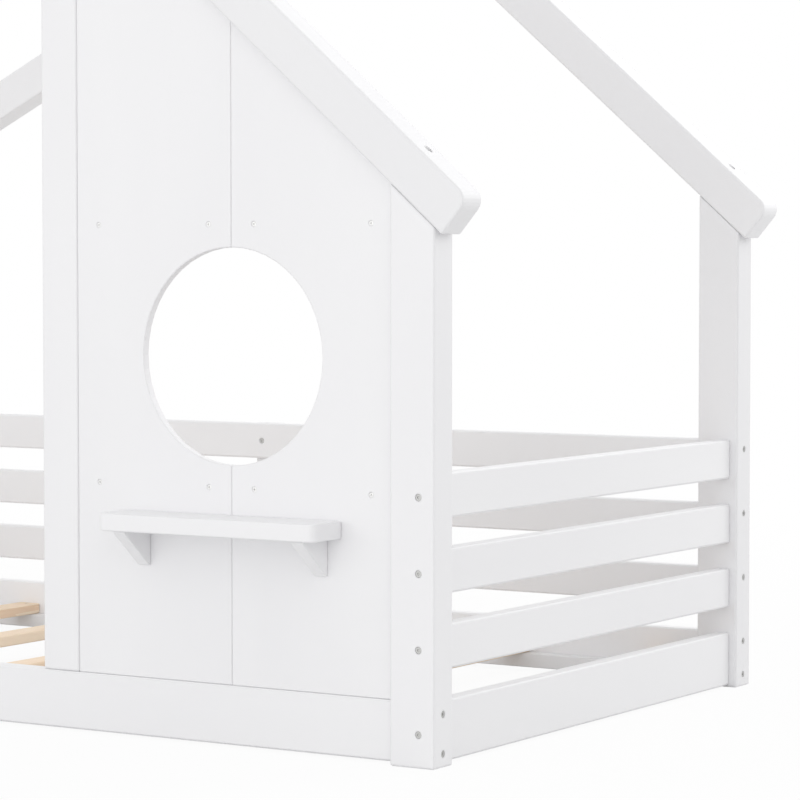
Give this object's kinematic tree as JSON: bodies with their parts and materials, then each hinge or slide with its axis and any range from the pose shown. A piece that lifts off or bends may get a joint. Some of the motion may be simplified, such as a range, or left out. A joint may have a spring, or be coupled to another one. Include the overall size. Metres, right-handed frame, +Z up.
{
  "type": "house floor bed",
  "caption": "Low slatted floor bed in an open house frame of bolted lumber, with guard rails, a pitched rafter roof and a boarded facade with a round window and a shelf",
  "frame": {"origin": "on the floor, in the middle of the overall footprint, shelf and roof noses included", "axes": "X along the bed with the window facade towards +X, Y from the front to the rear, Z up"},
  "size_m": [2.1218, 1.1298, 1.534],
  "materials": {
    "white_paint": "white satin paint",
    "pine": "bare sanded pine",
    "zinc_steel": "dull zinc plating"
  },
  "bodies": {
    "root": {"front_right_post": "white_paint", "front_left_post": "white_paint", "rear_right_post": "white_paint", "rear_left_post": "white_paint", "facade_post": "white_paint", "front_right_rafter": "white_paint", "front_left_rafter": "white_paint", "rear_right_rafter": "white_paint", "rear_left_rafter": "white_paint", "ridge_beam": "white_paint", "front_bottom_rail": "white_paint", "rear_bottom_rail": "white_paint", "right_bottom_rail": "white_paint", "left_bottom_rail": "white_paint", "right_guard_rail_1": "white_paint", "right_guard_rail_2": "white_paint", "right_guard_rail_3": "white_paint", "left_guard_rail_1": "white_paint", "left_guard_rail_2": "white_paint", "left_guard_rail_3": "white_paint", "rear_guard_rail_1": "white_paint", "rear_guard_rail_2": "white_paint", "rear_guard_rail_3": "white_paint", "rear_middle_batten": "white_paint", "facade_board_left": "white_paint", "facade_board_right": "white_paint", "facade_batten_upper": "white_paint", "facade_batten_lower": "white_paint", "shelf_board": "white_paint", "shelf_bracket_left": "white_paint", "shelf_bracket_right": "white_paint", "front_slat_ledger": "white_paint", "rear_slat_ledger": "white_paint", "bed_slat_1": "pine", "bed_slat_2": "pine", "bed_slat_3": "pine", "bed_slat_4": "pine", "bed_slat_5": "pine", "bed_slat_6": "pine", "bed_slat_7": "pine", "front_right_rafter_bolt": "zinc_steel", "front_left_rafter_bolt": "zinc_steel", "rear_right_rafter_bolt": "zinc_steel", "rear_left_rafter_bolt": "zinc_steel", "middle_batten_bolt_1": "zinc_steel", "middle_batten_bolt_2": "zinc_steel", "middle_batten_bolt_3": "zinc_steel", "middle_batten_bolt_4": "zinc_steel", "facade_screw_left_inner_lower": "zinc_steel", "facade_screw_left_inner_upper": "zinc_steel", "facade_screw_left_outer_lower": "zinc_steel", "facade_screw_left_outer_upper": "zinc_steel", "facade_screw_right_inner_lower": "zinc_steel", "facade_screw_right_inner_upper": "zinc_steel", "facade_screw_right_outer_lower": "zinc_steel", "facade_screw_right_outer_upper": "zinc_steel"}
  },
  "joints": []
}
